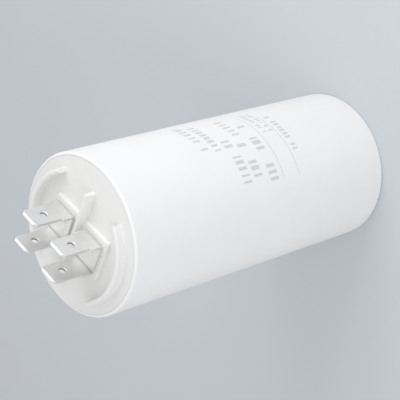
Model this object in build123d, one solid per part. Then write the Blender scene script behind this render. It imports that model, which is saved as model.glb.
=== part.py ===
from build123d import *
from math import atan2, degrees, hypot
import os

# Motor run capacitor. A wound film roll is potted in a moulded can.
# Two folded terminals, each with two push-on blades, stand on its lid.
# Z runs up the can's axis from its foot, X crosses from pole to pole, Y runs along the divider.

# Can, a moulded cup
can_diameter = 45.0
can_height = 100.0
can_wall = 1.6
can_floor = 2.0
mouth_wall = 0.9
rim_rounding = 0.75
foot_rounding = 0.5

# Lid, a moulded plug that sits flush in the can's mouth
lid_thickness = 2.4
lid_clearance = 0.05
lid_edge_bevel = 0.2
lid_fillet = 0.4
skirt_depth = 5.0
skirt_wall = 1.4

# Pad under the terminals
pad_length = 22.6
pad_width = 13.0
pad_height = 1.0
pad_corner = 0.8
pad_rounding = 0.5

# Divider bar between the two poles
divider_length = 29.4
divider_height = 2.9
divider_top_width = 1.1
divider_foot_width = 1.5
divider_rounding = 0.45

# Curved ribs near the lid's edge
rib_edge_gap = 3.1
rib_width = 1.3
rib_height = 2.7
rib_rounding = 0.55
rib_half_angle = 49.0

# Terminals, folded from sheet
sheet = 0.8
bend_radius = 0.2
pole_spacing = 12.4
blade_spacing = 9.0
root_width = 7.5
blade_width = 6.3
shoulder_height = 4.0
blade_height = 13.0
tip_corner = 1.0
tip_bevel_length = 0.5
tip_bevel_depth = 0.25
detent_diameter = 1.7
detent_height = 7.9
detent_sink = 0.25

# Flush rivets and the tags under them
rivet_diameter = 2.5
rivet_head_diameter = 4.1
rivet_foot_diameter = 4.4
rivet_foot_thickness = 0.7
tag_thickness = 0.5
tag_width = 5.0
tag_reach = 6.0

# Film roll and what is wound, sprayed and wrapped on it
core_bore = 6.0
core_wall = 1.0
roll_wall_gap = 2.4
spray_thickness = 0.6
wrap_thickness = 0.5
roll_floor_gap = 3.4
roll_head_gap = 8.6
resin_cover = 2.8

# Leads from the tags to the sprayed ends
wire_diameter = 1.2
sleeve_diameter = 1.8
strip_length = 1.0
lead_bend = 2.0
lead_roll_gap = 1.5
lead_end_inset = 6.0
solder_radius = 2.4
solder_crest_radius = 1.5
solder_height = 2.6

# How far each cut runs past the face that it opens
overrun = 1.0

# Sizes that follow from the ones above
can_radius = can_diameter / 2
bore_radius = can_radius - can_wall
mouth_radius = can_radius - mouth_wall
rib_outer_radius = mouth_radius - rib_edge_gap
pad_rib_room = rib_outer_radius - rib_width - hypot(pad_length / 2, pad_width / 2)
inner_fillet = min(lid_fillet, pad_rib_room / 3)
lid_underside = can_height - lid_thickness
pad_top = can_height + pad_height
wire_radius = wire_diameter / 2
sleeve_radius = sleeve_diameter / 2
core_radius = core_bore / 2 + core_wall
wrap_radius = bore_radius - roll_wall_gap
roll_radius = wrap_radius - wrap_thickness
roll_bottom = can_floor + roll_floor_gap
roll_top = lid_underside - roll_head_gap
film_bottom = roll_bottom + spray_thickness
film_top = roll_top - spray_thickness
tag_underside = lid_underside - tag_thickness
pole_x = pole_spacing / 2
wire_angle = degrees(atan2(-tag_reach, pole_x))
wire_radial = hypot(pole_x, tag_reach)
lead_drop_radius = (bore_radius + wrap_radius) / 2
lead_end_radius = roll_radius - lead_end_inset
lead_high_run = roll_top + lead_roll_gap
lead_low_run = (can_floor + roll_bottom) / 2


def ring(outer, inner, bottom, top):
    """A round tube about the can's axis."""
    section = Rectangle(outer - inner, top - bottom)
    middle = Pos((inner + outer) / 2, (bottom + top) / 2)
    return revolve(Plane.XZ * middle * section, Axis.Z)


def rod(radius, bottom, top):
    """An upright round bar on the can's axis."""
    return Pos(0, 0, (bottom + top) / 2) * Cylinder(radius, top - bottom)


def make_case():
    """The cup, with a step inside its mouth for the lid and rounded outer edges."""
    outline = Polyline(
        (0, 0),
        (can_radius, 0),
        (can_radius, can_height),
        (mouth_radius, can_height),
        (mouth_radius, lid_underside),
        (bore_radius, lid_underside),
        (bore_radius, can_floor),
        (0, can_floor),
        close=True,
    )
    section = make_face(outline)
    foot = section.vertices().sort_by_distance((can_radius, 0))[0]
    section = fillet(foot, foot_rounding)
    rim = section.vertices().sort_by_distance((can_radius, can_height))[0]
    section = fillet(rim, rim_rounding)
    return revolve(Plane.XZ * section, Axis.Z)


def make_lid_plug():
    """The lid's disc and the skirt below it that centres it in the can."""
    disc_radius = mouth_radius - lid_clearance
    skirt_radius = bore_radius - lid_clearance
    skirt_bore = skirt_radius - skirt_wall
    outline = Polyline(
        (0, lid_underside),
        (skirt_bore, lid_underside),
        (skirt_bore, lid_underside - skirt_depth),
        (skirt_radius, lid_underside - skirt_depth),
        (skirt_radius, lid_underside),
        (disc_radius, lid_underside),
        (disc_radius, can_height - lid_edge_bevel),
        (disc_radius - lid_edge_bevel, can_height),
        (0, can_height),
        close=True,
    )
    return revolve(Plane.XZ * make_face(outline), Axis.Z)


def make_pad():
    """The raised block that carries both terminals."""
    depth = pad_height + lid_thickness / 2
    outline = RectangleRounded(pad_length, pad_width, pad_corner)
    block = extrude(Pos(0, 0, pad_top - depth) * outline, depth)
    return fillet(block.faces().sort_by(Axis.Z)[-1].edges(), pad_rounding)


def make_divider():
    """The tapered bar across the pad, with its long top edges rounded."""
    foot = can_height - lid_thickness / 2
    top = can_height + divider_height
    outline = Polyline(
        (-divider_foot_width / 2, foot),
        (-divider_foot_width / 2, can_height),
        (-divider_top_width / 2, top),
        (divider_top_width / 2, top),
        (divider_foot_width / 2, can_height),
        (divider_foot_width / 2, foot),
        close=True,
    )
    section = make_face(outline)
    crest = section.vertices().group_by(Axis.Y)[-1]
    section = fillet(crest, divider_rounding)
    return extrude(Plane.XZ * section, divider_length / 2, both=True)


def make_rib(middle_angle):
    """One round-topped rib that follows the lid's edge."""
    foot = can_height - lid_thickness / 2
    top = can_height + rib_height
    middle = rib_outer_radius - rib_width / 2
    section = Pos(middle, (foot + top) / 2) * Rectangle(rib_width, top - foot)
    crest = section.vertices().group_by(Axis.Y)[-1]
    section = fillet(crest, rib_rounding)
    sweep_angle = rib_half_angle + rib_half_angle
    rib = revolve(Plane.XZ * section, Axis.Z, sweep_angle)
    return Rot(0, 0, middle_angle - rib_half_angle) * rib


def make_lid():
    """The whole lid moulding, with filleted inner corners, bored for the two rivets."""
    raised = [make_pad(), make_divider(), make_rib(0), make_rib(180)]
    plug = make_lid_plug()
    lid = plug + raised
    inner_corners = new_edges(plug, *raised, combined=lid)
    lid = fillet(inner_corners, inner_fillet)
    for side in (-1, 1):
        hole = rod(rivet_diameter / 2, lid_underside - overrun, pad_top + overrun)
        lid -= Pos(side * pole_x, 0, 0) * hole
    return lid


def make_terminal(side):
    """One stamping folded to a U: a foot on the pad and two upright blades."""
    reach = blade_spacing / 2 + sheet / 2
    inner = reach - sheet
    tip = pad_top + blade_height
    bevel = tip - tip_bevel_length
    outline = Polyline(
        (-reach, pad_top),
        (reach, pad_top),
        (reach, bevel),
        (reach - tip_bevel_depth, tip),
        (inner + tip_bevel_depth, tip),
        (inner, bevel),
        (inner, pad_top + sheet),
        (-inner, pad_top + sheet),
        (-inner, bevel),
        (-inner - tip_bevel_depth, tip),
        (-reach + tip_bevel_depth, tip),
        (-reach, bevel),
        close=True,
    )
    section = make_face(outline)
    outer_bends = section.vertices().group_by(Axis.Y)[0]
    section = fillet(outer_bends, bend_radius + sheet)
    inner_bends = section.vertices().filter_by(lambda v: abs(v.Y - pad_top - sheet) < sheet / 2)
    inner_bends = inner_bends.filter_by(lambda v: abs(abs(v.X) - inner) < sheet / 2)
    section = fillet(inner_bends, bend_radius)
    folded = extrude(Plane.YZ * section, root_width / 2, both=True)
    terminal = folded & make_blade_outline()
    hole_height = pad_top + detent_height
    drill = Rot(90, 0, 0) * Cylinder(detent_diameter / 2, reach + reach + overrun)
    terminal -= Pos(0, 0, hole_height) * drill
    rims = terminal.edges().filter_by(GeomType.CIRCLE)
    rims = rims.filter_by_position(Axis.Z, hole_height - sheet, hole_height + sheet)
    terminal = chamfer(rims, detent_sink) - make_rivet_head()
    return Pos(side * pole_x, 0, 0) * terminal


def make_blade_outline():
    """The front outline of both blades: wide root, shoulders and cut tip corners."""
    tip = pad_top + blade_height
    shoulder = pad_top + shoulder_height
    outline = Polyline(
        (-root_width / 2, pad_top),
        (root_width / 2, pad_top),
        (root_width / 2, shoulder),
        (blade_width / 2, shoulder),
        (blade_width / 2, tip - tip_corner),
        (blade_width / 2 - tip_corner, tip),
        (tip_corner - blade_width / 2, tip),
        (-blade_width / 2, tip - tip_corner),
        (-blade_width / 2, shoulder),
        (-root_width / 2, shoulder),
        close=True,
    )
    return extrude(Plane.XZ * make_face(outline), blade_spacing / 2 + sheet, both=True)


def make_rivet_head():
    """The countersunk head that ends flush with the terminal's foot."""
    narrow = rivet_diameter / 2
    wide = rivet_head_diameter / 2
    return Pos(0, 0, pad_top + sheet / 2) * Cone(narrow, wide, sheet)


def make_rivet(side):
    """A flush rivet through a terminal's foot, the lid and a solder tag."""
    shank = rod(rivet_diameter / 2, tag_underside, pad_top)
    foot = rod(rivet_foot_diameter / 2, tag_underside - rivet_foot_thickness, tag_underside)
    return Pos(side * pole_x, 0, 0) * (shank + foot + make_rivet_head())


def make_solder_tag(side):
    """A round-ended tag under the lid, with a rivet hole and a wire hole."""
    plate = Pos(0, -tag_reach / 2) * Rot(0, 0, 90) * SlotCenterToCenter(tag_reach, tag_width)
    plate -= Circle(rivet_diameter / 2)
    plate -= Pos(0, -tag_reach) * Circle(wire_radius)
    return Pos(side * pole_x, 0, tag_underside) * extrude(plate, tag_thickness)


def make_short_lead():
    """The straight wire from the left tag to the top of the roll."""
    return Pos(-pole_x, -tag_reach, 0) * rod(wire_radius, roll_top, lid_underside)


def make_long_lead():
    """The wire from the right tag, out over the roll, down beside it and in under it."""
    route = Plane.XZ * FilletPolyline(
        (wire_radial, lid_underside),
        (wire_radial, lead_high_run),
        (lead_drop_radius, lead_high_run),
        (lead_drop_radius, lead_low_run),
        (lead_end_radius, lead_low_run),
        radius=lead_bend,
    )
    section = Plane(route @ 0, z_dir=route % 0) * Circle(wire_radius)
    return Rot(0, 0, wire_angle) * sweep(section, path=route)


def make_short_sleeve():
    """Insulation on the short wire, between its tag and its solder."""
    bottom = roll_top + solder_height + strip_length
    tube = ring(sleeve_radius, wire_radius, bottom, tag_underside - strip_length)
    return Pos(-pole_x, -tag_reach, 0) * tube


def make_long_sleeve():
    """Insulation on the long wire, all along the side of the roll."""
    tube = ring(sleeve_radius, wire_radius, lead_low_run + lead_bend, lead_high_run - lead_bend)
    return Rot(0, 0, wire_angle) * Pos(lead_drop_radius, 0, 0) * tube


def make_solder(x, y, face, way, wire):
    """A low mound of solder on a sprayed end, with the lead's end in it."""
    mound = Pos(0, 0, solder_height / 2) * Cone(solder_radius, solder_crest_radius, solder_height)
    if way < 0:
        mound = Rot(180, 0, 0) * mound
    return Pos(x, y, face) * mound - wire


def make_resin(inner_pieces):
    """The potting, up to just above the roll, with a space for each piece in it."""
    fill = rod(bore_radius, can_floor, roll_top + resin_cover)
    fill -= ring(wrap_radius, core_bore / 2, roll_bottom, roll_top)
    for piece in inner_pieces:
        fill -= piece
    return fill


lead_short = make_short_lead()
lead_long = make_long_lead()
sleeve_short = make_short_sleeve()
sleeve_long = make_long_sleeve()
solder_top = make_solder(-pole_x, -tag_reach, roll_top, 1, lead_short)
solder_spot = Rot(0, 0, wire_angle) * Pos(lead_end_radius, 0, 0)
solder_bottom = make_solder(solder_spot.position.X, solder_spot.position.Y, roll_bottom, -1, lead_long)
potted = [lead_short, lead_long, sleeve_short, sleeve_long, solder_top, solder_bottom]

nodes = {
    "case": make_case(),
    "lid": make_lid(),
    "terminal_left": make_terminal(-1),
    "terminal_right": make_terminal(1),
    "rivet_left": make_rivet(-1),
    "rivet_right": make_rivet(1),
    "solder_tag_left": make_solder_tag(-1),
    "solder_tag_right": make_solder_tag(1),
    "core_tube": ring(core_radius, core_bore / 2, roll_bottom, roll_top),
    "winding": ring(roll_radius, core_radius, film_bottom, film_top),
    "end_spray_top": ring(roll_radius, core_radius, film_top, roll_top),
    "end_spray_bottom": ring(roll_radius, core_radius, roll_bottom, film_bottom),
    "outer_wrap": ring(wrap_radius, roll_radius, roll_bottom, roll_top),
    "lead_short": lead_short,
    "lead_long": lead_long,
    "sleeve_short": sleeve_short,
    "sleeve_long": sleeve_long,
    "solder_top": solder_top,
    "solder_bottom": solder_bottom,
    "resin": make_resin(potted),
}

os.makedirs("parts", exist_ok=True)
for name, shape in nodes.items():
    export_step(shape, f"parts/{name}.step")
    print(name, round(shape.volume, 1))
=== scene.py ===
from math import cos, hypot, pi, radians, sin

import bmesh
import bpy
from bpy.props import FloatProperty, FloatVectorProperty, IntProperty, PointerProperty
from mathutils import Matrix, Vector


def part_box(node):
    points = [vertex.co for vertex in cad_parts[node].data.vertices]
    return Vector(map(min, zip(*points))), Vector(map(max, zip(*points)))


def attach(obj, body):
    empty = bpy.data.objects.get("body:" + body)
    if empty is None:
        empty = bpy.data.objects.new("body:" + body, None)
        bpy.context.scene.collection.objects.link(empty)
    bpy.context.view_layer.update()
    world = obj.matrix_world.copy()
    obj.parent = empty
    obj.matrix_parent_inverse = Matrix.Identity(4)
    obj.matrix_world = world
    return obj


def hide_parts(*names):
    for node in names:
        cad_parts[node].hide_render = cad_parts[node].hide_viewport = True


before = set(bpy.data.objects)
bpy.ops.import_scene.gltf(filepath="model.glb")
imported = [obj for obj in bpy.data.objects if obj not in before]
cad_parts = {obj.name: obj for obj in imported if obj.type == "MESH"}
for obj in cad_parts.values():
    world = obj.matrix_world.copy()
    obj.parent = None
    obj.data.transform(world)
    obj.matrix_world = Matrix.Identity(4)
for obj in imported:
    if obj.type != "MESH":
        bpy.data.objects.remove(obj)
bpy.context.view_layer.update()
case_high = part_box("case")[1]
lid_low, lid_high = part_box("lid")
terminal_low, terminal_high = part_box("terminal_right")
terminal_middle = (terminal_low.x + terminal_high.x) / 2
terminal_width = terminal_high.x - terminal_low.x
tag_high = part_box("solder_tag_right")[1]

bl_info = {
    "name": "Motor run capacitor",
    "version": (1, 0, 0),
    "blender": (4, 5, 0),
    "location": "3D View > Sidebar > Capacitor",
    "description": "Dresses a motor run capacitor and sets its studio stage",
    "category": "Object",
}

ROOT = "root"

# Two points closer than this are one point
TOUCH = 1e-6
# Gap between the lid's edge and the can's mouth
MOUTH_GAP = 0.00001
# Edges that turn more than this are shaded sharp
SHARP_ANGLE = radians(50)
# Faces that turn less than this become one face
FLAT_ANGLE = radians(0.2)
# Hollow corners of the lid that turn more than this get a fillet
HOLLOW_ANGLE = radians(20)
# Edges of the sheet metal that turn more than this are rounded
STAMPED_ANGLE = radians(14)
# A face looks a given way when at least this much of its normal lies along it
FACING_SHARE = 0.9

# Facets across each rounding, fold and hole
RIM_FACETS = 6
FOOT_FACETS = 5
BEVEL_FACETS = 1
CORNER_FACETS = 6
CREST_FACETS = 4
RIB_FACETS = 5
END_FACETS = 3
FILLET_FACETS = 4
EDGE_FACETS = 3
FOLD_FACETS = 8
BORE_FACETS = 48
# Cuts in each side of the square that becomes a detent hole, and the corners it then has
HOLE_CUTS = 5
HOLE_CORNERS = 4 * (HOLE_CUTS + 1)
# Bevel profile that gives a round edge
ROUND_PROFILE = 0.5

# Sockets of a Mix node that blends colours: its factor, its two colours and its result
MIX_FACTOR = 0
MIX_FIRST = 6
MIX_SECOND = 7
MIX_RESULT = 2

# Noise lies mostly between these two values
NOISE_LOW = 0.3
NOISE_HIGH = 0.7

# Moulded plastic: how far its gloss varies, and how strongly its grain shows
GLOSS_SPREAD = 0.04
GRAIN_STRENGTH = 0.35

# Drawn metal: tones of its lines and specks, and how far its polish varies
DARK_LINE_TONE = 0.9
LIGHT_LINE_TONE = 1.08
SPECK_TONE = 0.6
SPECK_COVER = 0.35
SPECK_CORE = 0.08
SPECK_EDGE = 0.2
SMOOTHER = 0.06
ROUGHER = 0.08
LINE_STRENGTH = 0.3

# Tinned terminals: tone of the painted shade in the folds and in the punched holes, and how far a
# fold's painted shade reaches
FOLD_SHADE_TONE = 0.7
HOLE_SHADE_TONE = 0.3
FOLD_REACH = 0.0005

# Printed rows: start and end round the can and height up it,
# then the bars' pitch and half height. Angles are in degrees.
PRINTED_ROWS = (
    (84, 118, 0.0652, 4.6, 0.0013),
    (81, 115, 0.0610, 4.2, 0.0012),
    (52, 88, 0.0567, 4.9, 0.0016),
    (91, 112, 0.0508, 4.6, 0.0014),
    (50, 83, 0.0522, 4.9, 0.0016),
    (97, 103, 0.0462, 5.6, 0.0014),
    (49, 85, 0.0464, 4.9, 0.0016),
    (87, 114, 0.0404, 2.6, 0.0008),
    (87, 115, 0.0378, 2.6, 0.0008),
    (67, 104, 0.0340, 3.4, 0.0010),
)
# Thin printed rules: start, end and height
PRINTED_RULES = ((48, 112, 0.0428), (48, 105, 0.0364))
RULE_HALF_HEIGHT = 0.00012
# Share of its pitch that the widest bar fills, and the same for an unbroken rule
BAR_FILL = 0.72
RULE_FILL = 3.0
# Narrowest bar as a share of the widest, and how often a bar is left out
NARROWEST_BAR = 0.35
BLANK_CHANCE = 0.12
# How much of the plastic's colour the ink hides
INK_COVER = 0.65

# Nearest point that the camera sees, as a share of its distance
CLIP_SHARE = 0.01
# Colour of the light from all round
WHITE = (1, 1, 1, 1)


def length(name, description, default):
    """A length in metres."""
    return FloatProperty(
        name=name,
        description=description,
        default=default,
        precision=5,
        unit="LENGTH",
        subtype="DISTANCE",
    )


def angle(name, description, default):
    """An angle, shown in degrees and kept in radians."""
    return FloatProperty(
        name=name,
        description=description,
        default=radians(default),
        unit="ROTATION",
        subtype="ANGLE",
    )


def power(name, description, default):
    """The power of a lamp in watts."""
    return FloatProperty(name=name, description=description, default=default, unit="POWER")


def colour(name, description, default):
    """An opaque colour, as linear red, green and blue."""
    return FloatVectorProperty(
        name=name,
        description=description,
        default=(*default, 1),
        size=4,
        min=0,
        max=1,
        subtype="COLOR",
    )


class CapacitorCan(bpy.types.PropertyGroup):
    """Sizes of the moulded can."""

    radius: length("Radius", "Outside of the can's wall", case_high.x)
    height: length("Height", "Foot to rim", case_high.z)
    wall: length("Wall", "Thickness of the wall", 0.0016)
    floor: length("Floor", "Thickness of the bottom", 0.002)
    mouth: length("Mouth", "Radius of the mouth that holds the lid", lid_high.x + MOUTH_GAP)
    lid_seat: length("Lid seat", "Height of the step that the lid sits on", tag_high.z)
    rim_rounding: length("Rim rounding", "Outer edge of the rim", 0.00075)
    mouth_bevel: length("Mouth bevel", "Bevel round the mouth's upper edge", 0.00012)
    foot_rounding: length("Foot rounding", "Outer edge of the foot", 0.0005)
    steps: IntProperty(name="Steps", description="Facets round the can", default=192, min=24)


class CapacitorLid(bpy.types.PropertyGroup):
    """Sizes of the lid moulding."""

    radius: length("Radius", "Outside of the lid's disc", lid_high.x)
    underside: length("Underside", "Height of the disc's lower face", tag_high.z)
    face: length("Face", "Height of the disc's upper face", case_high.z)
    skirt_bottom: length("Skirt bottom", "Height of the skirt's lower edge", lid_low.z)
    skirt_gap: length("Skirt gap", "From the disc's edge in to the skirt", 0.0007)
    skirt_wall: length("Skirt wall", "Thickness of the skirt", 0.0014)
    edge_bevel: length("Edge bevel", "Bevel round the upper face", 0.00003)
    pad_length: length("Pad length", "Pad along X", 0.0226)
    pad_width: length("Pad width", "Pad along Y", 0.013)
    pad_top: length("Pad top", "Height of the pad's upper face", terminal_low.z)
    pad_corner: length("Pad corner", "Radius of the pad's upright corners", 0.0008)
    pad_rounding: length("Pad rounding", "Radius of the pad's upper edges", 0.0005)
    divider_length: length("Divider length", "Divider bar along Y", 0.0294)
    divider_top: length("Divider top", "Height of the divider's crest", lid_high.z)
    divider_foot_width: length("Divider foot width", "Divider bar where it meets the disc", 0.0015)
    divider_top_width: length("Divider top width", "Divider bar at its crest", 0.0011)
    divider_rounding: length("Divider rounding", "Radius of the divider's crest", 0.00045)
    rib_edge_gap: length("Rib edge gap", "From the disc's edge in to a rib", 0.00305)
    rib_width: length("Rib width", "Rib across", 0.0013)
    rib_height: length("Rib height", "Rib above the disc's face", 0.0027)
    rib_rounding: length("Rib rounding", "Radius of a rib's crest", 0.00055)
    rib_half_angle: angle("Rib half angle", "Half of the arc that a rib covers", 49)
    end_rounding: length("End rounding", "Radius at the ends of ribs and divider", 0.00015)
    fillet: length("Fillet", "Radius where ribs, pad and divider meet the disc", 0.0004)
    steps: IntProperty(name="Steps", description="Facets round the lid", default=192, min=24)


class CapacitorTerminal(bpy.types.PropertyGroup):
    """Sizes of the folded terminals."""

    pole: length("Pole", "From the can's axis to the middle of a terminal", terminal_middle)
    foot: length("Foot", "Height of the foot's lower face", terminal_low.z)
    tip: length("Tip", "Height of the blades' tips", terminal_high.z)
    reach: length("Reach", "From the terminal's middle to a blade's outer face", terminal_high.y)
    root_width: length("Root width", "Width of the foot and the blades' roots", terminal_width)
    sheet: length("Sheet", "Thickness of the metal", 0.0008)
    bend_radius: length("Bend radius", "Inside of the fold", 0.0002)
    blade_width: length("Blade width", "Width of a blade above its shoulders", 0.0063)
    shoulder: length("Shoulder", "From the foot's lower face to the shoulders", 0.004)
    tip_corner: length("Tip corner", "Cut across a blade's two corners", 0.001)
    tip_thinning: length("Tip thinning", "Length of the coined tip", 0.0005)
    tip_sheet: length("Tip sheet", "Thickness at the very tip", 0.0003)
    detent: length("Detent", "Diameter of the hole in a blade", 0.0017)
    detent_height: length("Detent height", "From the foot's lower face to the hole", 0.0079)
    detent_sink: length("Detent sink", "Bevel round both ends of the hole", 0.00025)
    rivet_shank: length("Rivet shank", "Diameter of the rivet under its head", 0.0025)
    rivet_head: length("Rivet head", "Diameter of the rivet's flush head", 0.0041)
    rivet_seam: length("Rivet seam", "Gap round the rivet's head", 0.00002)
    edge_rounding: length("Edge rounding", "Radius of the stamped edges", 0.00008)


class CapacitorFinish(bpy.types.PropertyGroup):
    """Colours of the visible and the sealed pieces, and of the floor."""

    can: colour("Can", "White moulded can", (0.84, 0.84, 0.835))
    lid: colour("Lid", "White moulded lid", (0.8, 0.8, 0.795))
    ink: colour("Ink", "Printed rows on the can", (0.5, 0.5, 0.51))
    tin: colour("Tin", "Bright tin plating", (0.8, 0.798, 0.79))
    core: colour("Core", "Tube under the roll", (0.72, 0.68, 0.56))
    film: colour("Film", "Metallised film", (0.6, 0.62, 0.65))
    wrap: colour("Wrap", "Plain film round the roll", (0.78, 0.77, 0.72))
    spray: colour("Spray", "Sprayed metal on the roll's ends", (0.5, 0.5, 0.52))
    copper: colour("Copper", "Bare leads", (0.8, 0.42, 0.25))
    sleeve: colour("Sleeve", "Insulation on the leads", (0.5, 0.05, 0.04))
    solder: colour("Solder", "Solder on the roll's ends", (0.66, 0.66, 0.68))
    resin: colour("Resin", "Potting round the roll", (0.14, 0.11, 0.08))
    floor: colour("Floor", "Studio floor", (0.55, 0.58, 0.62))


class CapacitorStage(bpy.types.PropertyGroup):
    """Studio floor, light and camera."""

    floor_size: length("Floor size", "Side of the square floor", 4.0)
    key_power: power("Key power", "Large soft lamp", 0.6)
    key_azimuth: angle("Key azimuth", "Round the part from +X", 114)
    key_elevation: angle("Key elevation", "Above the floor", 26)
    fill_power: power("Fill power", "Soft lamp on the shaded side", 0.31)
    fill_azimuth: angle("Fill azimuth", "Round the part from +X", 8)
    fill_elevation: angle("Fill elevation", "Above the floor", 26)
    lamp_size: length("Lamp size", "Side of each square lamp", 0.26)
    lamp_distance: length("Lamp distance", "From the part to each lamp", 0.35)
    sky_strength: FloatProperty(
        name="Sky strength",
        description="Light from all round",
        default=0.77,
        min=0,
    )
    aim: FloatVectorProperty(
        name="Aim",
        description="Point that the camera and the lamps look at",
        default=(0, 0.0003, 0.0556),
        subtype="TRANSLATION",
    )
    camera_distance: length("Camera distance", "From the aim to the camera", 0.3679)
    camera_azimuth: angle("Camera azimuth", "Round the part from +X", 49.664)
    camera_elevation: angle("Camera elevation", "Above the floor", 42.002)
    camera_roll: angle("Camera roll", "Turn about the line of sight", -106.1)
    lens: FloatProperty(name="Lens", description="Focal length in millimetres", default=115.58, min=1)


def sizes(group):
    """One of the groups of settings on the scene."""
    return getattr(bpy.context.scene, group)


# Mesh helpers


def spun(outline, steps):
    """A round body about Z, spun from an outline of (radius, height) points."""
    bm = bmesh.new()
    points = [bm.verts.new((radius, 0, height)) for radius, height in outline]
    lines = [bm.edges.new(pair) for pair in zip(points, points[1:])]
    bmesh.ops.spin(
        bm,
        geom=points + lines,
        cent=(0, 0, 0),
        axis=(0, 0, 1),
        angle=2 * pi,
        steps=steps,
        use_merge=True,
    )
    bmesh.ops.remove_doubles(bm, verts=bm.verts, dist=TOUCH)
    bmesh.ops.recalc_face_normals(bm, faces=bm.faces)
    return bm


def loop_at(bm, radius, height):
    """The edges of the ring at that radius and height."""

    def on_ring(vert):
        level = abs(vert.co.z - height) < TOUCH
        return level and abs(hypot(vert.co.x, vert.co.y) - radius) < TOUCH

    return [edge for edge in bm.edges if all(on_ring(vert) for vert in edge.verts)]


def flat_faces(bm, height):
    """The faces that lie level at that height."""

    def level(face):
        return all(abs(vert.co.z - height) < TOUCH for vert in face.verts)

    return [face for face in bm.faces if level(face)]


def touches_axis(face):
    """Whether a face has a corner on the can's axis."""
    return any(vert.co.xy.length < TOUCH for vert in face.verts)


def outline_edges(faces):
    """All the edges of some faces, each of them once."""
    return list(dict.fromkeys(edge for face in faces for edge in face.edges))


def round_edges(bm, edges, radius, segments):
    """Rounds edges, inner corners as well as outer ones."""
    bmesh.ops.bevel(
        bm,
        geom=edges,
        offset=radius,
        offset_type="OFFSET",
        affect="EDGES",
        segments=segments,
        profile=ROUND_PROFILE,
        material=-1,
        clamp_overlap=True,
    )


def block(low, high):
    """A box between two corners."""
    bm = bmesh.new()
    bmesh.ops.create_cube(bm, size=1)
    low, high = Vector(low), Vector(high)
    bmesh.ops.scale(bm, vec=high - low, verts=bm.verts)
    bmesh.ops.translate(bm, vec=(low + high) / 2, verts=bm.verts)
    return bm


def push(bm, face, way):
    """Extrudes a face along a vector and returns the new end face."""
    grown = bmesh.ops.extrude_face_region(bm, geom=[face])
    end = next(item for item in grown["geom"] if isinstance(item, bmesh.types.BMFace))
    if face.is_valid:
        bm.faces.remove(face)
    bmesh.ops.translate(bm, vec=way, verts=end.verts)
    return end


def made_object(name, bm):
    """Turns a bmesh into a smooth-shaded object at the origin."""
    mesh = bpy.data.meshes.new(name)
    bm.to_mesh(mesh)
    bm.free()
    mesh.shade_smooth()
    piece = bpy.data.objects.new(name, mesh)
    bpy.context.scene.collection.objects.link(piece)
    return piece


def combined(name, operation, solids):
    """Joins overlapping solids, or cuts the rest from the first, to one closed bmesh."""
    parts = [made_object(f"{name}_{number}", bm) for number, bm in enumerate(solids)]
    base = parts[0]
    for other in parts[1:]:
        step = base.modifiers.new(other.name, "BOOLEAN")
        step.operation = operation
        step.solver = "EXACT"
        step.object = other
    graph = bpy.context.evaluated_depsgraph_get()
    bm = bmesh.new()
    bm.from_object(base, graph)
    for part in parts:
        bpy.data.meshes.remove(part.data)
    bmesh.ops.remove_doubles(bm, verts=bm.verts, dist=TOUCH)
    bmesh.ops.dissolve_limit(bm, angle_limit=FLAT_ANGLE, verts=bm.verts, edges=bm.edges)
    return bm


def dress(piece, finish, slot, *nodes):
    """Gives a new piece its shading, its finish, its body and the nodes that it stands for."""
    piece.data.set_sharp_from_angle(angle=SHARP_ANGLE)
    piece.data.materials.append(finish)
    shading = piece.modifiers.new("even_shading", "WEIGHTED_NORMAL")
    shading.keep_sharp = True
    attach(piece, ROOT)
    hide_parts(*nodes)


# Node helpers


def make(tree, kind, inputs=None, **options):
    """Adds a shader node, sets its options and fills its inputs with values or links."""
    node = tree.nodes.new("ShaderNode" + kind)
    for option, value in options.items():
        setattr(node, option, value)
    for socket, value in (inputs or {}).items():
        if isinstance(value, bpy.types.NodeSocket):
            tree.links.new(value, node.inputs[socket])
        else:
            node.inputs[socket].default_value = value
    return node


def maths(tree, operation, first, second=0.0, third=0.0):
    """The result of a Math node."""
    node = make(tree, "Math", {0: first, 1: second, 2: third}, operation=operation)
    return node.outputs[0]


def remapped(tree, value, low, high, to_low=0.0, to_high=1.0):
    """A value carried from one range to another and held inside it."""
    node = make(
        tree,
        "MapRange",
        {"Value": value, "From Min": low, "From Max": high, "To Min": to_low, "To Max": to_high},
    )
    return node.outputs["Result"]


def blended(tree, factor, first, second):
    """One colour that changes to another by a mask."""
    inputs = {MIX_FACTOR: factor, MIX_FIRST: first, MIX_SECOND: second}
    return make(tree, "Mix", inputs, data_type="RGBA").outputs[MIX_RESULT]


def tinted(base, factor):
    """The same colour, lighter or darker."""
    return (*(min(1, channel * factor) for channel in base[:3]), 1)


def new_group(name, inputs, outputs):
    """An empty node group with named number and vector sockets."""
    tree = bpy.data.node_groups.new(name, "ShaderNodeTree")
    for socket, kind in inputs:
        tree.interface.new_socket(socket, in_out="INPUT", socket_type=kind)
    for socket in outputs:
        tree.interface.new_socket(socket, in_out="OUTPUT", socket_type="NodeSocketFloat")
    entry = tree.nodes.new("NodeGroupInput")
    leave = tree.nodes.new("NodeGroupOutput")
    return tree, entry.outputs, leave.inputs


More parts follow.
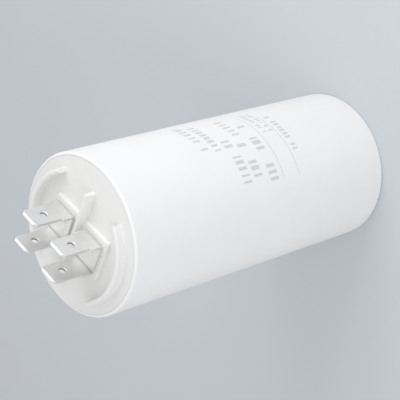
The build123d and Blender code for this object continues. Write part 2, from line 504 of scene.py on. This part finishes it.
def grain_group():
    """Fine moulded grain as a height, and wide clouds as a mask."""
    inputs = [
        ("Vector", "NodeSocketVector"),
        ("Grain Scale", "NodeSocketFloat"),
        ("Cloud Scale", "NodeSocketFloat"),
    ]
    tree, entry, leave = new_group("moulded_grain", inputs, ["Height", "Cloud"])
    grain = make(
        tree,
        "TexNoise",
        {"Vector": entry["Vector"], "Scale": entry["Grain Scale"], "Detail": 3.0, "Roughness": 0.6},
    )
    cloud = make(
        tree,
        "TexNoise",
        {"Vector": entry["Vector"], "Scale": entry["Cloud Scale"], "Detail": 4.0, "Roughness": 0.55},
    )
    tree.links.new(grain.outputs["Fac"], leave["Height"])
    tree.links.new(remapped(tree, cloud.outputs["Fac"], NOISE_LOW, NOISE_HIGH), leave["Cloud"])
    return tree


def lines_group():
    """Fine lines along a stretched direction, and sparse specks."""
    inputs = [
        ("Vector", "NodeSocketVector"),
        ("Stretch", "NodeSocketVector"),
        ("Speck Scale", "NodeSocketFloat"),
    ]
    tree, entry, leave = new_group("drawn_lines", inputs, ["Lines", "Specks"])
    stretched = make(
        tree, "VectorMath", {0: entry["Vector"], 1: entry["Stretch"]}, operation="MULTIPLY"
    )
    lines = make(
        tree,
        "TexNoise",
        {"Vector": stretched.outputs[0], "Scale": 1.0, "Detail": 4.0, "Roughness": 0.6},
    )
    specks = make(tree, "TexVoronoi", {"Vector": entry["Vector"], "Scale": entry["Speck Scale"]})
    tree.links.new(lines.outputs["Fac"], leave["Lines"])
    spots = remapped(tree, specks.outputs["Distance"], SPECK_CORE, SPECK_EDGE, 1.0, 0.0)
    tree.links.new(spots, leave["Specks"])
    return tree


def row_group():
    """One printed row of plain bars round the can, as a mask."""
    numbers = ["Angle", "Height", "Start", "End", "Pitch", "Middle", "Half Height", "Fill"]
    inputs = [(name, "NodeSocketFloat") for name in numbers]
    tree, entry, leave = new_group("printed_row", inputs, ["Mask"])
    along = maths(tree, "SUBTRACT", entry["Angle"], entry["Start"])
    count = maths(tree, "DIVIDE", along, entry["Pitch"])
    cell = maths(tree, "FLOOR", count)
    place = maths(tree, "FRACT", count)
    seed = maths(tree, "ADD", cell, entry["Middle"])
    chance = make(tree, "TexWhiteNoise", {"W": seed}, noise_dimensions="1D").outputs["Value"]
    width = remapped(tree, chance, 0.0, 1.0, NARROWEST_BAR, 1.0)
    bar = maths(tree, "LESS_THAN", place, maths(tree, "MULTIPLY", width, entry["Fill"]))
    inked = maths(tree, "GREATER_THAN", chance, BLANK_CHANCE)
    away = maths(tree, "ABSOLUTE", maths(tree, "SUBTRACT", entry["Height"], entry["Middle"]))
    level = maths(tree, "LESS_THAN", away, entry["Half Height"])
    begun = maths(tree, "GREATER_THAN", entry["Angle"], entry["Start"])
    ended = maths(tree, "LESS_THAN", entry["Angle"], entry["End"])
    mask = maths(tree, "MULTIPLY", bar, inked)
    for part in (level, begun, ended):
        mask = maths(tree, "MULTIPLY", mask, part)
    tree.links.new(mask, leave["Mask"])
    return tree


def shared_group(name, builder):
    """A node group that is built once and then found by its name."""
    return bpy.data.node_groups.get(name) or builder()


def placed(tree, group, inputs):
    """Places a node group in a material."""
    return make(tree, "Group", inputs, node_tree=group).outputs


def new_finish(name):
    """An empty material, with its shader and its object coordinates."""
    finish = bpy.data.materials.new(name)
    finish.use_nodes = True
    tree = finish.node_tree
    tree.nodes.clear()
    shader = make(tree, "BsdfPrincipled")
    end = make(tree, "OutputMaterial", {"Surface": shader.outputs["BSDF"]})
    end.name = "Material Output"
    where = make(tree, "TexCoord").outputs["Object"]
    return finish, tree, shader, where


def bumped(tree, shader, height, strength, depth):
    """Feeds a height to the shader's normal."""
    bump = make(tree, "Bump", {"Height": height, "Strength": strength, "Distance": depth})
    tree.links.new(bump.outputs["Normal"], shader.inputs["Normal"])


def moulded_finish(name, base, grain_scale, cloud_scale, roughness, depth, spread):
    """Moulded plastic: clouded colour, uneven gloss and a fine grain."""
    finish, tree, shader, where = new_finish(name)
    grain = placed(
        tree,
        shared_group("moulded_grain", grain_group),
        {"Vector": where, "Grain Scale": grain_scale, "Cloud Scale": cloud_scale},
    )
    tone = blended(tree, grain["Cloud"], tinted(base, 1 - spread), tinted(base, 1 + spread))
    tree.links.new(tone, shader.inputs["Base Color"])
    gloss = remapped(
        tree, grain["Cloud"], 0.0, 1.0, roughness - GLOSS_SPREAD, roughness + GLOSS_SPREAD
    )
    tree.links.new(gloss, shader.inputs["Roughness"])
    bumped(tree, shader, grain["Height"], GRAIN_STRENGTH, depth)
    return finish, tree, shader, where


def drawn_finish(name, base, stretch, speck_scale, roughness, depth):
    """Drawn or rolled metal: fine lines, specks and an uneven polish."""
    finish, tree, shader, where = new_finish(name)
    shader.inputs["Metallic"].default_value = 1.0
    marks = placed(
        tree,
        shared_group("drawn_lines", lines_group),
        {"Vector": where, "Stretch": stretch, "Speck Scale": speck_scale},
    )
    dark, light = tinted(base, DARK_LINE_TONE), tinted(base, LIGHT_LINE_TONE)
    streaked = blended(tree, marks["Lines"], dark, light)
    cover = maths(tree, "MULTIPLY", marks["Specks"], SPECK_COVER)
    specked = blended(tree, cover, streaked, tinted(base, SPECK_TONE))
    tree.links.new(specked, shader.inputs["Base Color"])
    polish = remapped(
        tree, marks["Lines"], NOISE_LOW, NOISE_HIGH, roughness - SMOOTHER, roughness + ROUGHER
    )
    tree.links.new(polish, shader.inputs["Roughness"])
    height = maths(tree, "SUBTRACT", marks["Lines"], marks["Specks"])
    bumped(tree, shader, height, LINE_STRENGTH, depth)
    return finish, tree, shader, where


def can_finish(colours):
    """White can with faint printed rows and rules."""
    finish, tree, shader, where = moulded_finish(
        "can_white",
        colours.can,
        grain_scale=2600.0,
        cloud_scale=60.0,
        roughness=0.42,
        depth=0.00004,
        spread=0.012,
    )
    axes = make(tree, "SeparateXYZ", {"Vector": where}).outputs
    turn = maths(tree, "ARCTAN2", axes["Y"], axes["X"])
    rows = [(*row, BAR_FILL) for row in PRINTED_ROWS]
    for start, end, middle in PRINTED_RULES:
        rows.append((start, end, middle, end - start, RULE_HALF_HEIGHT, RULE_FILL))
    ink = 0.0
    for start, end, middle, pitch, half_height, fill in rows:
        row = placed(
            tree,
            shared_group("printed_row", row_group),
            {
                "Angle": turn,
                "Height": axes["Z"],
                "Start": radians(start),
                "End": radians(end),
                "Pitch": radians(pitch),
                "Middle": middle,
                "Half Height": half_height,
                "Fill": fill,
            },
        )
        ink = maths(tree, "MAXIMUM", ink, row["Mask"])
    plain = shader.inputs["Base Color"].links[0].from_socket
    cover = maths(tree, "MULTIPLY", ink, INK_COVER)
    tree.links.new(blended(tree, cover, plain, tuple(colours.ink)), shader.inputs["Base Color"])
    return finish


def lid_finish(colours):
    """White lid, a little duller than the can."""
    return moulded_finish(
        "lid_white",
        colours.lid,
        grain_scale=2200.0,
        cloud_scale=90.0,
        roughness=0.46,
        depth=0.00005,
        spread=0.015,
    )[0]


def near_line(tree, first, second, inner, outer):
    """A mask of all that lies near a straight line, from the two distances to it."""
    offset = make(tree, "CombineXYZ", {"X": first, "Y": second}).outputs["Vector"]
    away = make(tree, "VectorMath", {0: offset}, operation="LENGTH").outputs["Value"]
    return remapped(tree, away, inner, outer, 1.0, 0.0)


def tin_finish(colours, part):
    """Bright tin on rolled sheet, with painted shade darkening its inner folds and its punched holes.
    """
    finish, tree, shader, where = drawn_finish(
        "bright_tin",
        colours.tin,
        stretch=(9000.0, 300.0, 300.0),
        speck_scale=1400.0,
        roughness=0.48,
        depth=0.000012,
    )
    axes = make(tree, "SeparateXYZ", {"Vector": where}).outputs
    # Painted shade: the colour is darkened along each inner fold, where shade gathers in the crease
    to_blade = maths(tree, "SUBTRACT", maths(tree, "ABSOLUTE", axes["Y"]), part.reach - part.sheet)
    to_foot = maths(tree, "SUBTRACT", axes["Z"], part.foot + part.sheet)
    fold = near_line(tree, to_blade, to_foot, part.bend_radius, FOLD_REACH)
    # Painted shade: the walls round each detent hole are painted much darker, for the shade inside
    # the hole
    to_pole = maths(tree, "SUBTRACT", maths(tree, "ABSOLUTE", axes["X"]), part.pole)
    to_hole = maths(tree, "SUBTRACT", axes["Z"], part.foot + part.detent_height)
    hole = part.detent / 2
    punched = near_line(tree, to_pole, to_hole, hole, hole + part.detent_sink / 2)
    bright = shader.inputs["Base Color"].links[0].from_socket
    fold_shaded = blended(tree, fold, bright, tinted(colours.tin, FOLD_SHADE_TONE))
    hole_shaded = blended(tree, punched, fold_shaded, tinted(colours.tin, HOLE_SHADE_TONE))
    tree.links.new(hole_shaded, shader.inputs["Base Color"])
    return finish


class CAPACITOR_OT_can(bpy.types.Operator):
    """Make the moulded can with its rounded rim and foot"""

    bl_idname = "capacitor.can"
    bl_label = "Can"

    def execute(self, context):
        can = sizes("capacitor_can")
        bore = can.radius - can.wall
        outline = (
            (0, 0),
            (can.radius, 0),
            (can.radius, can.height),
            (can.mouth, can.height),
            (can.mouth, can.lid_seat),
            (bore, can.lid_seat),
            (bore, can.floor),
            (0, can.floor),
        )
        bm = spun(outline, can.steps)
        round_edges(bm, loop_at(bm, can.radius, can.height), can.rim_rounding, RIM_FACETS)
        round_edges(bm, loop_at(bm, can.mouth, can.height), can.mouth_bevel, BEVEL_FACETS)
        round_edges(bm, loop_at(bm, can.radius, 0), can.foot_rounding, FOOT_FACETS)
        piece = made_object("can_shell", bm)
        dress(piece, can_finish(sizes("capacitor_finish")), "can_plastic", "case")
        return {"FINISHED"}


def lid_plug(lid):
    """The lid's disc and the skirt under it."""
    skirt = lid.radius - lid.skirt_gap
    bore = skirt - lid.skirt_wall
    outline = (
        (0, lid.underside),
        (bore, lid.underside),
        (bore, lid.skirt_bottom),
        (skirt, lid.skirt_bottom),
        (skirt, lid.underside),
        (lid.radius, lid.underside),
        (lid.radius, lid.face - lid.edge_bevel),
        (lid.radius - lid.edge_bevel, lid.face),
        (0, lid.face),
    )
    bm = spun(outline, lid.steps)
    for height in (lid.face, lid.underside):
        fan = [face for face in flat_faces(bm, height) if touches_axis(face)]
        bmesh.ops.dissolve_faces(bm, faces=fan, use_verts=True)
    return bm


def lid_pad(lid):
    """The raised block that carries the terminals."""
    foot = (lid.face + lid.underside) / 2
    corner = Vector((lid.pad_length / 2, lid.pad_width / 2, 0))
    bm = block(-corner + Vector((0, 0, foot)), corner + Vector((0, 0, lid.pad_top)))
    upright = [edge for edge in bm.edges if abs(edge.verts[0].co.z - edge.verts[1].co.z) > TOUCH]
    round_edges(bm, upright, lid.pad_corner, CORNER_FACETS)
    top = flat_faces(bm, lid.pad_top)[0]
    round_edges(bm, list(top.edges), lid.pad_rounding, CREST_FACETS)
    return bm


def lid_divider(lid):
    """The tapered bar between the two poles."""
    half = lid.divider_length / 2
    foot = lid.divider_foot_width / 2
    bm = block((-foot, -half, lid.face), (foot, half, lid.divider_top))
    taper = (lid.divider_top_width / lid.divider_foot_width, 1, 1)
    top = flat_faces(bm, lid.divider_top)[0]
    bmesh.ops.scale(bm, vec=taper, verts=top.verts)
    crest = [edge for edge in top.edges if abs(edge.verts[0].co.y - edge.verts[1].co.y) > half]
    round_edges(bm, crest, lid.divider_rounding, CREST_FACETS)
    ends = [face for face in bm.faces if abs(abs(face.calc_center_median().y) - half) < TOUCH]
    upper = [
        edge
        for edge in outline_edges(ends)
        if any(vert.co.z > lid.face + TOUCH for vert in edge.verts)
    ]
    round_edges(bm, upper, lid.end_rounding, END_FACETS)
    bottom = next(face for face in bm.faces if face.normal.z < -FACING_SHARE)
    push(bm, bottom, (0, 0, (lid.underside - lid.face) / 2))
    return bm


def lid_rib(lid, middle):
    """A round-topped rib along the lid's edge, about a middle angle."""
    outer = lid.radius - lid.rib_edge_gap
    inner = outer - lid.rib_width
    foot = (lid.face + lid.underside) / 2
    top = lid.face + lid.rib_height
    bm = bmesh.new()
    corners = ((inner, 0, foot), (outer, 0, foot), (outer, 0, top), (inner, 0, top))
    section = bm.faces.new([bm.verts.new(corner) for corner in corners])
    bmesh.ops.bevel(
        bm,
        geom=[vert for vert in section.verts if vert.co.z > lid.face],
        offset=lid.rib_rounding,
        offset_type="OFFSET",
        affect="VERTICES",
        segments=RIB_FACETS,
        profile=ROUND_PROFILE,
        material=-1,
    )
    section = list(bm.faces)
    turn = Matrix.Rotation(middle - lid.rib_half_angle, 3, "Z")
    bmesh.ops.rotate(bm, cent=(0, 0, 0), matrix=turn, verts=bm.verts)
    arc = 2 * lid.rib_half_angle
    steps = round(lid.steps * arc / (2 * pi))
    bmesh.ops.spin(bm, geom=section, cent=(0, 0, 0), axis=(0, 0, 1), angle=arc, steps=steps)
    bmesh.ops.recalc_face_normals(bm, faces=bm.faces)
    # Only the two end faces have more than four corners
    ends = [face for face in bm.faces if len(face.verts) > 4]
    round_edges(bm, outline_edges(ends), lid.end_rounding, END_FACETS)
    return bm


def rivet_bore(lid, part, side):
    """The hole through the pad and the disc for a rivet's shank, closed at both ends."""
    radius = part.rivet_shank / 2 + part.rivet_seam
    bottom = lid.underside - part.sheet
    top = lid.pad_top + part.sheet
    bm = spun(((0, bottom), (radius, bottom), (radius, top), (0, top)), BORE_FACETS)
    bmesh.ops.translate(bm, vec=(side * part.pole, 0, 0), verts=bm.verts)
    return bm


def hollow_corners(bm, lowest):
    """The edges, from a height up, at which two faces meet in a hollow."""
    return [
        edge
        for edge in bm.edges
        if edge.is_manifold
        and edge.calc_face_angle_signed() < -HOLLOW_ANGLE
        and all(vert.co.z > lowest - TOUCH for vert in edge.verts)
    ]


class CAPACITOR_OT_lid(bpy.types.Operator):
    """Make the lid moulding with its pad, divider and ribs"""

    bl_idname = "capacitor.lid"
    bl_label = "Lid"

    def execute(self, context):
        lid = sizes("capacitor_lid")
        solids = [lid_plug(lid), lid_pad(lid), lid_divider(lid), lid_rib(lid, 0), lid_rib(lid, pi)]
        bm = combined("lid_moulding", "UNION", solids)
        round_edges(bm, hollow_corners(bm, lid.face), lid.fillet, FILLET_FACETS)
        part = sizes("capacitor_terminal")
        bores = [rivet_bore(lid, part, side) for side in (-1, 1)]
        bm = combined("lid_bored", "DIFFERENCE", [bm, *bores])
        piece = made_object("lid_moulding", bm)
        dress(piece, lid_finish(sizes("capacitor_finish")), "lid_plastic", "lid")
        return {"FINISHED"}


def half_terminal(part):
    """Half of a terminal: the foot from its middle, the fold and one blade."""
    bm = bmesh.new()
    half_root = part.root_width / 2
    inner = part.reach - part.sheet
    upper = part.foot + part.sheet
    corners = (
        (-half_root, 0, part.foot),
        (half_root, 0, part.foot),
        (half_root, 0, upper),
        (-half_root, 0, upper),
    )
    section = bm.faces.new([bm.verts.new(corner) for corner in corners])
    fold_start = inner - part.bend_radius
    section = push(bm, section, (0, fold_start, 0))
    fold = bmesh.ops.spin(
        bm,
        geom=[section],
        cent=(0, fold_start, upper + part.bend_radius),
        axis=(1, 0, 0),
        angle=pi / 2,
        steps=FOLD_FACETS,
    )
    if section.is_valid:
        bm.faces.remove(section)
    section = next(item for item in fold["geom_last"] if isinstance(item, bmesh.types.BMFace))
    shoulder = part.foot + part.shoulder
    section = push(bm, section, (0, 0, shoulder - upper - part.bend_radius))
    half_blade = part.blade_width / 2
    for side in (-half_blade, half_blade):
        geom = [section, *section.edges, *section.verts]
        bmesh.ops.bisect_plane(
            bm, geom=geom, plane_co=(side, 0, 0), plane_no=(1, 0, 0), dist=TOUCH
        )
        section = min(flat_faces(bm, shoulder), key=lambda face: abs(face.calc_center_median().x))
    return bm, section, shoulder


def detent_zone(bm, part, section, shoulder):
    """Carries a blade up past its hole and returns its new end face."""
    middle = part.foot + part.detent_height
    half_blade = part.blade_width / 2
    section = push(bm, section, (0, 0, middle - half_blade - shoulder))
    section = push(bm, section, (0, 0, part.blade_width))
    bm.normal_update()
    walls = [
        face
        for face in bm.faces
        if abs(face.normal.y) > FACING_SHARE
        and abs(face.calc_center_median().z - middle) < TOUCH
    ]
    rims = []
    for wall in walls:
        bmesh.ops.inset_individual(bm, faces=[wall], thickness=half_blade - part.detent)
        bmesh.ops.subdivide_edges(bm, edges=list(wall.edges), cuts=HOLE_CUTS)
        hole = next(
            face
            for face in bm.faces
            if len(face.verts) == HOLE_CORNERS
            and face.normal.dot(wall.normal) > FACING_SHARE
        )
        centre = hole.calc_center_median()
        for vert in hole.verts:
            vert.co = centre + (vert.co - centre).normalized() * part.detent / 2
        rims += list(hole.edges)
        bm.faces.remove(hole)
    bmesh.ops.bridge_loops(bm, edges=rims)
    round_edges(bm, rims, part.detent_sink, BEVEL_FACETS)
    return section


def rivet_hole(part):
    """The countersunk hole for the rivet's flush head, closed at both ends."""
    top = part.foot + part.sheet
    shank = part.rivet_shank / 2 + part.rivet_seam
    head = part.rivet_head / 2 + part.rivet_seam
    outline = (
        (0, part.foot - part.sheet),
        (shank, part.foot - part.sheet),
        (shank, part.foot),
        (head, top),
        (head, top + part.sheet),
        (0, top + part.sheet),
    )
    return spun(outline, BORE_FACETS)


def folded_terminal(part, side):
    """One whole terminal, standing at its pole."""
    bm, section, shoulder = half_terminal(part)
    section = detent_zone(bm, part, section, shoulder)
    level = section.calc_center_median().z
    section = push(bm, section, (0, 0, part.tip - part.tip_corner - level))
    blade_middle = Vector((0, part.reach - part.sheet / 2, 0))
    before_tip = part.tip_corner - part.tip_thinning
    coined_width = part.blade_width - 2 * before_tip
    tip_width = part.blade_width - 2 * part.tip_corner
    steps = (
        (before_tip, coined_width / part.blade_width, 1),
        (part.tip_thinning, tip_width / coined_width, part.tip_sheet / part.sheet),
    )
    for rise, narrowing, thinning in steps:
        section = push(bm, section, (0, 0, rise))
        bmesh.ops.scale(
            bm,
            vec=(narrowing, thinning, 1),
            verts=section.verts,
            space=Matrix.Translation(-blade_middle),
        )
    whole = bm.verts[:] + bm.edges[:] + bm.faces[:]
    bmesh.ops.mirror(bm, geom=whole, axis="Y", merge_dist=TOUCH)
    bmesh.ops.remove_doubles(bm, verts=bm.verts, dist=TOUCH)
    bmesh.ops.recalc_face_normals(bm, faces=bm.faces)
    bm = combined(f"terminal_{side}", "DIFFERENCE", [bm, rivet_hole(part)])
    stamped = [
        edge for edge in bm.edges if edge.is_manifold and edge.calc_face_angle() > STAMPED_ANGLE
    ]
    round_edges(bm, stamped, part.edge_rounding, EDGE_FACETS)
    bmesh.ops.translate(bm, vec=(side * part.pole, 0, 0), verts=bm.verts)
    return bm


class CAPACITOR_OT_terminals(bpy.types.Operator):
    """Make the two folded terminals with their push-on blades"""

    bl_idname = "capacitor.terminals"
    bl_label = "Terminals"

    def execute(self, context):
        part = sizes("capacitor_terminal")
        finish = tin_finish(sizes("capacitor_finish"), part)
        for side, name in ((-1, "left"), (1, "right")):
            piece = made_object(f"blades_{name}", folded_terminal(part, side))
            dress(piece, finish, "tinned_brass", f"terminal_{name}")
        return {"FINISHED"}


# Finishes of the sealed plastics: name, grain scale, cloud scale, roughness, depth and spread
SEALED_PLASTICS = {
    "core": ("core_plastic", 1800.0, 120.0, 0.5, 0.00004, 0.03),
    "wrap": ("wrap_film", 700.0, 200.0, 0.25, 0.00003, 0.03),
    "sleeve": ("sleeve_plastic", 2400.0, 300.0, 0.5, 0.00003, 0.08),
    "resin": ("resin", 400.0, 90.0, 0.22, 0.0001, 0.15),
}
# Finishes of the sealed metals: name, stretch of the lines, speck scale, roughness and depth
SEALED_METALS = {
    "film": ("metal_film", (500.0, 500.0, 9000.0), 900.0, 0.3, 0.00001),
    "spray": ("zinc_spray", (3000.0, 3000.0, 3000.0), 2200.0, 0.62, 0.0001),
    "copper": ("drawn_copper", (6000.0, 6000.0, 300.0), 1600.0, 0.3, 0.00001),
    "solder": ("solder", (900.0, 900.0, 900.0), 1500.0, 0.32, 0.00003),
}
# The finish of each node that keeps its own mesh
NODE_FINISHES = {
    "rivet_left": "tin",
    "rivet_right": "tin",
    "solder_tag_left": "tin",
    "solder_tag_right": "tin",
    "core_tube": "core",
    "winding": "film",
    "end_spray_top": "spray",
    "end_spray_bottom": "spray",
    "outer_wrap": "wrap",
    "lead_short": "copper",
    "lead_long": "copper",
    "sleeve_short": "sleeve",
    "sleeve_long": "sleeve",
    "solder_top": "solder",
    "solder_bottom": "solder",
    "resin": "resin",
}


class CAPACITOR_OT_inside(bpy.types.Operator):
    """Give the rivets, tags and all sealed pieces their finishes"""

    bl_idname = "capacitor.inside"
    bl_label = "Rivets and sealed pieces"

    def execute(self, context):
        colours = sizes("capacitor_finish")
        finishes = {"tin": bpy.data.materials["bright_tin"]}
        for key, (name, *numbers) in SEALED_PLASTICS.items():
            finishes[key] = moulded_finish(name, getattr(colours, key), *numbers)[0]
        for key, (name, *numbers) in SEALED_METALS.items():
            finishes[key] = drawn_finish(name, getattr(colours, key), *numbers)[0]
        for node, key in NODE_FINISHES.items():
            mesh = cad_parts[node].data
            mesh.materials.clear()
            mesh.materials.append(finishes[key])
        return {"FINISHED"}


def orbit(azimuth, elevation):
    """The way from the part out to a point round it, of length 1."""
    level = cos(elevation)
    return Vector((level * cos(azimuth), level * sin(azimuth), sin(elevation)))


def soft_lamp(name, stage, watts, way):
    """A square lamp that looks back at the part from that way."""
    lamp = bpy.data.lights.new(name, "AREA")
    lamp.energy = watts
    lamp.size = stage.lamp_size
    holder = bpy.data.objects.new(name, lamp)
    holder.location = Vector(stage.aim) + way * stage.lamp_distance
    holder.rotation_mode = "QUATERNION"
    holder.rotation_quaternion = way.to_track_quat("Z", "Y")
    bpy.context.scene.collection.objects.link(holder)


class CAPACITOR_OT_stage(bpy.types.Operator):
    """Set the pale floor, the soft light and the camera"""

    bl_idname = "capacitor.stage"
    bl_label = "Stage"

    def execute(self, context):
        stage = sizes("capacitor_stage")
        scene = context.scene
        scene.view_settings.view_transform = "Standard"

        bm = bmesh.new()
        bmesh.ops.create_grid(bm, x_segments=1, y_segments=1, size=stage.floor_size / 2)
        floor = made_object("studio_floor", bm)
        floor_finish = moulded_finish(
            "studio_floor",
            sizes("capacitor_finish").floor,
            grain_scale=900.0,
            cloud_scale=6.0,
            roughness=0.85,
            depth=0.00002,
            spread=0.01,
        )[0]
        floor.data.materials.append(floor_finish)

        to_key = orbit(stage.key_azimuth, stage.key_elevation)
        to_fill = orbit(stage.fill_azimuth, stage.fill_elevation)
        soft_lamp("key_lamp", stage, stage.key_power, to_key)
        soft_lamp("fill_lamp", stage, stage.fill_power, to_fill)

        world = bpy.data.worlds.new("studio_sky")
        world.use_nodes = True
        sky = world.node_tree.nodes["Background"]
        sky.inputs["Color"].default_value = WHITE
        sky.inputs["Strength"].default_value = stage.sky_strength
        scene.world = world

        camera = bpy.data.objects.new("camera", bpy.data.cameras.new("camera"))
        back = orbit(stage.camera_azimuth, stage.camera_elevation)
        camera.location = Vector(stage.aim) + back * stage.camera_distance
        camera.rotation_mode = "QUATERNION"
        roll = Matrix.Rotation(stage.camera_roll, 3, "Z").to_quaternion()
        camera.rotation_quaternion = back.to_track_quat("Z", "Y") @ roll
        camera.data.lens = stage.lens
        camera.data.clip_start = stage.camera_distance * CLIP_SHARE
        scene.collection.objects.link(camera)
        scene.camera = camera
        return {"FINISHED"}


OPERATORS = (
    CAPACITOR_OT_can,
    CAPACITOR_OT_lid,
    CAPACITOR_OT_terminals,
    CAPACITOR_OT_inside,
    CAPACITOR_OT_stage,
)


class CAPACITOR_PT_pieces(bpy.types.Panel):
    """Lists the pieces and the stage"""

    bl_label = "Motor run capacitor"
    bl_idname = "CAPACITOR_PT_pieces"
    bl_space_type = "VIEW_3D"
    bl_region_type = "UI"
    bl_category = "Capacitor"

    def draw(self, context):
        for operator in OPERATORS:
            self.layout.operator(operator.bl_idname)


SETTINGS = {
    "capacitor_can": CapacitorCan,
    "capacitor_lid": CapacitorLid,
    "capacitor_terminal": CapacitorTerminal,
    "capacitor_finish": CapacitorFinish,
    "capacitor_stage": CapacitorStage,
}
CLASSES = (*SETTINGS.values(), *OPERATORS, CAPACITOR_PT_pieces)


def register():
    for cls in CLASSES:
        bpy.utils.register_class(cls)
    for name, group in SETTINGS.items():
        setattr(bpy.types.Scene, name, PointerProperty(type=group))


def unregister():
    for name in SETTINGS:
        delattr(bpy.types.Scene, name)
    for cls in reversed(CLASSES):
        bpy.utils.unregister_class(cls)


def main():
    register()
    bpy.ops.capacitor.can()
    bpy.ops.capacitor.lid()
    bpy.ops.capacitor.terminals()
    bpy.ops.capacitor.inside()
    bpy.ops.capacitor.stage()


if __name__ == "__main__":
    main()
